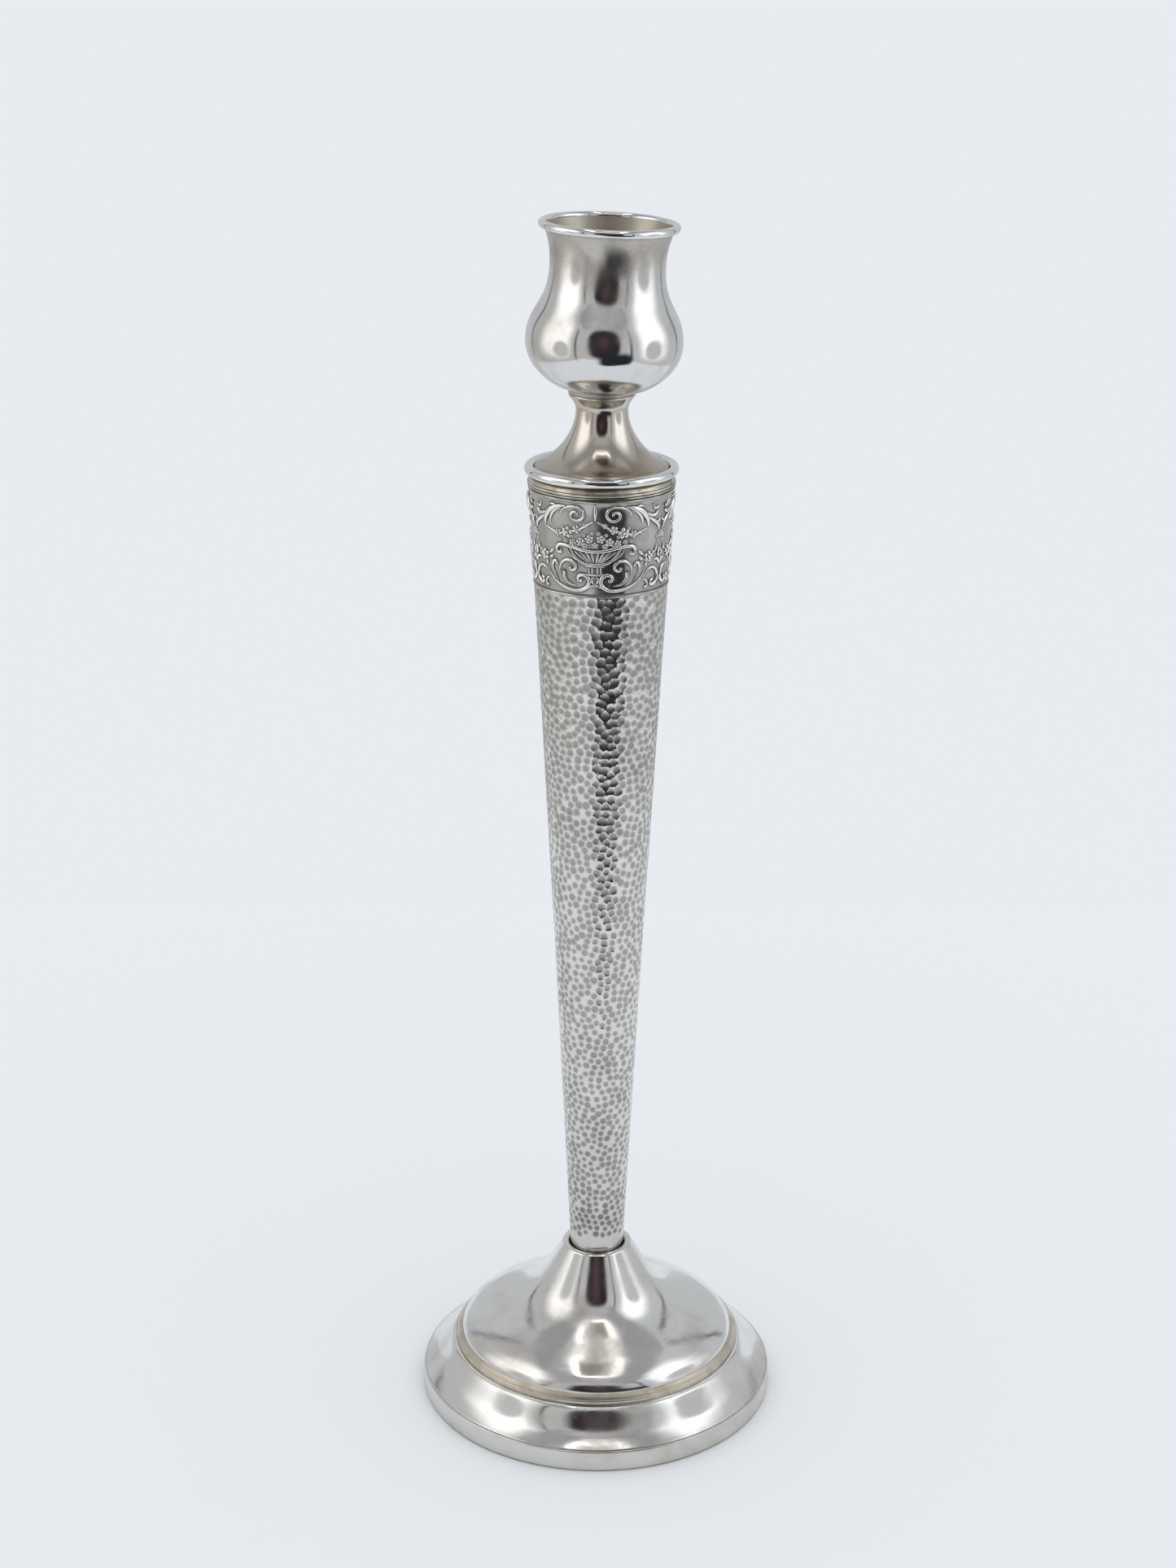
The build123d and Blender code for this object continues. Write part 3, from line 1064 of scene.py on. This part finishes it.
def wireRing(name, radius, thickness, height, turns, sides):
    deselectAll()
    bpy.ops.mesh.primitive_torus_add(
        location=(0, 0, height),
        major_radius=radius * mm,
        minor_radius=thickness * mm,
        major_segments=turns,
        minor_segments=sides,
    )
    ring = bpy.context.object
    ring.name = name
    applyPlace(ring)
    bpy.ops.object.shade_smooth()
    return ring


# the bright bead round the foot of the neck
bead = {"radius": 16.65, "wire": 1.13, "wobbles": ((0.007, 0.00010, 17),)}
beadMiddle = (footOf("collar_bead") + topOf("collar_bead")) / 2
beadPiece = wireRing("bead", bead["radius"], bead["wire"], beadMiddle, 240, 24)
handMade(beadPiece, bead["wobbles"])
finishPiece(beadPiece, "bead_wire", polished, "polished_plate", "collar_bead")

# the neck: a waisted spool with a table on top
neck = {
    "outline": [
        (14.5, 0),
        (15.5, 0),
        (15.4, 1.6, 0.1),
        (14.1, 2.55, 0.16),
        (6.0, 14.65, (-3.9, 1.9), (0, -5)),
        (7.55, 17.9, (0, 1.3), (-0.9, -1.0)),
        (7.62, 18.45, 0.12),
        (7.2, 18.7, 0.08),
        (5.0, 18.7),
        (5.0, 14.65),
        (13.4, 1.6, (0, -5), (-3.6, 1.9)),
        (14.5, 1.2),
    ],
    "wobbles": ((0.009, 0.0001, 19),),
}
neckPiece = turnedPiece("neck", neck["outline"], footOf("neck_spool"), fineness=20)
handMade(neckPiece, neck["wobbles"])
finishPiece(neckPiece, "neck_shell", neckSilver, "plated_neck", "neck_spool")

# the cup: turned upright, then leaned over on its solder
cup = {
    "outline": [
        (0, 0.02),
        (7.6, 0.02),
        (17.9, 10.8, (3.6, 0.15), (0, -6.2)),
        (13.05, 27.8, (0, 7.65), (0, -9.0)),
        (14.9, 36.85, (0, 4.8), (-0.8, -2.2)),
        (14.1, 36.85),
        (12.2, 30.0, (-0.8, -2.2), (0, 2.6)),
        (12.2, 25.6),
        (17.05, 10.8, (0, -6.8), (0, 6.8)),
        (7.4, 0.9, (0, -5.9), (3.4, 0.15)),
        (0, 0.9),
    ],
    "rimRadius": 15.03,
    "rimWire": 0.94,
    "rimHeight": 36.85,
    "solder": 0.6,
    "floorInside": 7.4,
    "wobbles": ((0.013, 0.00014, 23), (0.0045, 0.00002, 24)),
    "rimWobbles": ((0.007, 0.0001, 29),),
}
leanOver = Matrix.Translation((0, 0, cupFoot + cup["solder"] * mm)) @ Matrix.Rotation(cupLean, 4, "Y")


def leanPiece(piece):
    piece.matrix_world = leanOver
    applyPlace(piece)


# the inner wall is marked, to be painted darker than the outside: painted shade inside the cup, with some
# tarnish
def markInside(piece):
    inside = piece.data.attributes.new("inside", "FLOAT", "POINT")
    for vertex in piece.data.vertices:
        facing = vertex.normal.x * vertex.co.x + vertex.normal.y * vertex.co.y
        onWall = facing < 0 and vertex.co.z > 0.5 * mm
        onFloor = math.hypot(vertex.co.x, vertex.co.y) < cup["floorInside"] * mm
        inside.data[vertex.index].value = 1.0 if onWall or onFloor else 0.0


cupPiece = turnedPiece("cup", cup["outline"], 0, closed=False, fineness=24)
markInside(cupPiece)
handMade(cupPiece, cup["wobbles"])
leanPiece(cupPiece)
finishPiece(cupPiece, "cup_shell", cupSilver, "plated_cup", "candle_cup")
rimPiece = wireRing("rim", cup["rimRadius"], cup["rimWire"], cup["rimHeight"] * mm, 224, 22)
handMade(rimPiece, cup["rimWobbles"])
leanPiece(rimPiece)
finishPiece(rimPiece, "rim_wire", polished, "polished_plate", "cup_rim_wire")
print("top ready")


# the hidden work keeps its own nodes, each with its own finish
hiddenWork = {
    "steelSheet": {
        "nodes": ["base_plate"],
        "light": (0.42, 0.42, 0.43),
        "dark": (0.20, 0.14, 0.10),
        "scale": 320,
        "roughness": (0.35, 0.6),
        "metallic": 0.9,
        "bump": 0.25,
    },
    "plasterFilling": {
        "nodes": ["base_weight"],
        "light": (0.80, 0.77, 0.70),
        "dark": (0.55, 0.50, 0.42),
        "scale": 520,
        "roughness": (0.8, 0.98),
        "metallic": 0.0,
        "bump": 0.6,
    },
    "steelHardware": {
        "nodes": ["clamp_washer", "clamp_nut", "tie_rod", "top_nut"],
        "light": (0.55, 0.55, 0.56),
        "dark": (0.25, 0.19, 0.14),
        "scale": 700,
        "stretch": (1, 1, 8),
        "roughness": (0.3, 0.5),
        "metallic": 0.95,
        "bump": 0.3,
    },
    "turnedBrass": {
        "nodes": ["stem_seat", "stem_sleeve", "top_plate"],
        "light": (0.72, 0.55, 0.28),
        "dark": (0.42, 0.29, 0.13),
        "scale": 600,
        "stretch": (1, 1, 10),
        "roughness": (0.25, 0.45),
        "metallic": 1.0,
        "bump": 0.25,
    },
}


def refinish(node, material):
    for slot in frame["nodes"][node].material_slots:
        slot.material = material


for finish, look in hiddenWork.items():
    finishMaterial = hiddenMaterial(finish, look)
    for node in look["nodes"]:
        refinish(node, finishMaterial)
refinish("cup_solder_seat", solderGrey)
print("hidden work ready")


# the stage: a pale floor inside a small light tent, whose walls only the metal sees
clothTone, coolTone, ventTone = (0.552, 0.546, 0.54), (0.582, 0.60, 0.618), (0.58, 0.59, 0.59)
lampTone, flapTone, cornerTone = (4.2, 4.1, 3.9), (0.03, 0.03, 0.03), (0.16, 0.16, 0.17)
studio = {
    "floorSize": 16,
    "floorColour": (0.815, 0.832, 0.85),
    "floorRoughness": 0.9,
    "air": (0.94, 0.96, 0.985),
    "airStrength": 0.89,
    "lightEnergy": 0.5,
    "lightSpread": 70,
    "lightTilt": (14, 6),
    # each sheet's name, the way it faces, size, place, tone, faded share of a side and corner power,
    # where 2 is an ellipse and 4 a rounded square
    "sheets": [
        ("tentLeft", "side", (0.94, 0.80), (-0.40, -0.15, 0.40), clothTone, 0, 4),
        ("tentRight", "side", (0.94, 0.80), (0.40, -0.15, 0.40), coolTone, 0, 4),
        ("tentBackCloth", "front", (0.80, 0.80), (0, 0.32, 0.40), coolTone, 0, 4),
        ("tentFrontCloth", "front", (0.80, 0.80), (0, -0.62, 0.40), clothTone, 0, 4),
        ("tentRoof", "roof", (0.80, 0.94), (0, -0.15, 0.80), (0.36, 0.365, 0.38), 0, 4),
        ("roofFront", "roof", (0.80, 0.36), (0, -0.52, 0.796), (0.52, 0.52, 0.53), 0.3, 4),
        ("roofOpening", "roof", (0.24, 0.32), (0, -0.075, 0.795), (0.30, 0.28, 0.25), 0.06, 4),
        # daylight through the side cloths, with a dim round vent low in each
        ("leftDaylight", "side", (0.52, 0.76), (-0.39, -0.12, 0.40), (1.46, 1.45, 1.42), 0.32, 4),
        ("rightDaylight", "side", (0.50, 0.76), (0.39, -0.11, 0.40), (1.44, 1.47, 1.50), 0.32, 4),
        ("leftVent", "side", (0.25, 0.25), (-0.38, -0.19, 0.22), ventTone, 0.16, 2),
        ("rightVent", "side", (0.25, 0.25), (0.38, -0.11, 0.22), ventTone, 0.16, 2),
        # the frame of lamps under the roof
        ("lampFront", "roof", (0.30, 0.035), (0, -0.25, 0.79), lampTone, 0.12, 4),
        ("lampBack", "roof", (0.30, 0.035), (0, 0.10, 0.79), lampTone, 0.12, 4),
        ("lampLeft", "roof", (0.035, 0.38), (-0.135, -0.075, 0.79), lampTone, 0.12, 4),
        ("lampRight", "roof", (0.035, 0.38), (0.135, -0.075, 0.79), lampTone, 0.12, 4),
        # the opening in front, the room beyond it, the dark threshold and the flaps' edges
        ("opening", "front", (0.62, 0.76), (0, -0.61, 0.40), (0.025, 0.02, 0.024), 0.13, 3),
        ("beyond", "front", (0.30, 0.46), (-0.01, -0.606, 0.43), (0.085, 0.047, 0.05), 0.42, 2),
        ("threshold", "front", (0.42, 0.30), (0.12, -0.328, 0.10), (0.02, 0.024, 0.03), 0.18, 3),
        ("leftFlapEdge", "front", (0.034, 0.62), (-0.30, -0.332, 0.32), flapTone, 0.2, 4),
        ("rightFlapEdge", "front", (0.034, 0.62), (0.27, -0.332, 0.32), flapTone, 0.2, 4),
        ("leftCorner", "middle", (0.06, 0.80), (-0.388, 0.308, 0.40), cornerTone, 0.3, 4),
        ("rightCorner", "middle", (0.06, 0.80), (0.388, 0.308, 0.40), cornerTone, 0.3, 4),
    ],
}


def layFloor():
    deselectAll()
    bpy.ops.mesh.primitive_plane_add(size=studio["floorSize"], location=(0, 2, -0.00005))
    floor = bpy.context.object
    floor.name = "floor"
    bpy.ops.object.mode_set(mode="EDIT")
    bpy.ops.mesh.subdivide(number_cuts=5)
    bpy.ops.object.mode_set(mode="OBJECT")
    material, nodes, links, shader = newMaterial("paperFloor")
    shader.inputs["Base Color"].default_value = (*studio["floorColour"], 1)
    shader.inputs["Roughness"].default_value = studio["floorRoughness"]
    shader.inputs["Specular IOR Level"].default_value = 0.1
    floor.data.materials.append(material)


# a sheet's clear share: it fades towards its edges and its corners are rounded
def fadeSheet(nodes, links, fade, corner):
    place = nodes.new("ShaderNodeSeparateXYZ")
    links.new(objectCoords(nodes), place.inputs["Vector"])
    sides = []
    for axis in ("X", "Y"):
        away = nodes.new("ShaderNodeMath")
        away.operation = "ABSOLUTE"
        links.new(place.outputs[axis], away.inputs[0])
        sides.append(mathNode(nodes, links, "POWER", away.outputs["Value"], corner))
    reached = mathNode(nodes, links, "POWER", mathNode(nodes, links, "ADD", *sides), 1 / corner)
    return rangeNode(nodes, links, reached, 0.5 - fade, 0.5, 1, 0)


# a glowing sheet of tent cloth, which only the metal's reflections see
def tentSheet(name, faces, size, place, tone, fade, corner):
    x, y, z = place
    aim = {"side": (0, y, z), "front": (x, 0, z), "roof": (x, y, 0), "middle": (0, 0, z)}[faces]
    deselectAll()
    bpy.ops.mesh.primitive_plane_add(size=1, location=place)
    sheet = bpy.context.object
    sheet.name = name
    sheet.scale = (size[0], size[1], 1)
    sheet.rotation_euler = (Vector(aim) - Vector(place)).to_track_quat("Z", "Y").to_euler()
    material = bpy.data.materials.new(name + "Cloth")
    material.use_nodes = True
    nodes, links = material.node_tree.nodes, material.node_tree.links
    nodes.clear()
    glow = nodes.new("ShaderNodeEmission")
    glow.inputs["Color"].default_value = (*tone, 1)
    out = nodes.new("ShaderNodeOutputMaterial")
    if fade:
        blend = nodes.new("ShaderNodeMixShader")
        links.new(fadeSheet(nodes, links, fade, corner), blend.inputs["Fac"])
        links.new(nodes.new("ShaderNodeBsdfTransparent").outputs["BSDF"], blend.inputs[1])
        links.new(glow.outputs["Emission"], blend.inputs[2])
        links.new(blend.outputs["Shader"], out.inputs["Surface"])
    else:
        links.new(glow.outputs["Emission"], out.inputs["Surface"])
    sheet.data.materials.append(material)
    sheet.visible_camera = False
    sheet.visible_diffuse = False
    sheet.visible_shadow = False


layFloor()
world = bpy.data.worlds.new("studioAir")
world.use_nodes = True
world.node_tree.nodes["Background"].inputs["Color"].default_value = (*studio["air"], 1)
world.node_tree.nodes["Background"].inputs["Strength"].default_value = studio["airStrength"]
bpy.context.scene.world = world
deselectAll()
lightTurn = [math.radians(tilt) for tilt in studio["lightTilt"]] + [0]
bpy.ops.object.light_add(type="SUN", location=(0, 0, 1), rotation=lightTurn)
roofLight = bpy.context.object
roofLight.name = "roofLight"
roofLight.data.energy = studio["lightEnergy"]
roofLight.data.angle = math.radians(studio["lightSpread"])
roofLight.visible_glossy = False
for row in studio["sheets"]:
    tentSheet(*row)

# the camera stands in front and looks down a little
view = {
    "lens": 62.5,
    "sensor": 36,
    "nearest": 0.01,
    "place": (-0.00278, -0.6124, 0.3799),
    "tilt": 70.41,
    "roll": 0.277,
}
deselectAll()
bpy.ops.object.camera_add()
camera = bpy.context.object
camera.data.lens = view["lens"]
camera.data.sensor_width = view["sensor"]
camera.data.clip_start = view["nearest"]
camera.matrix_world = (
    Matrix.Translation(view["place"])
    @ Matrix.Rotation(math.radians(view["tilt"]), 4, "X")
    @ Matrix.Rotation(math.radians(view["roll"]), 4, "Z")
)
bpy.context.scene.camera = camera
bpy.context.scene.view_settings.view_transform = "Standard"
print("stage ready")
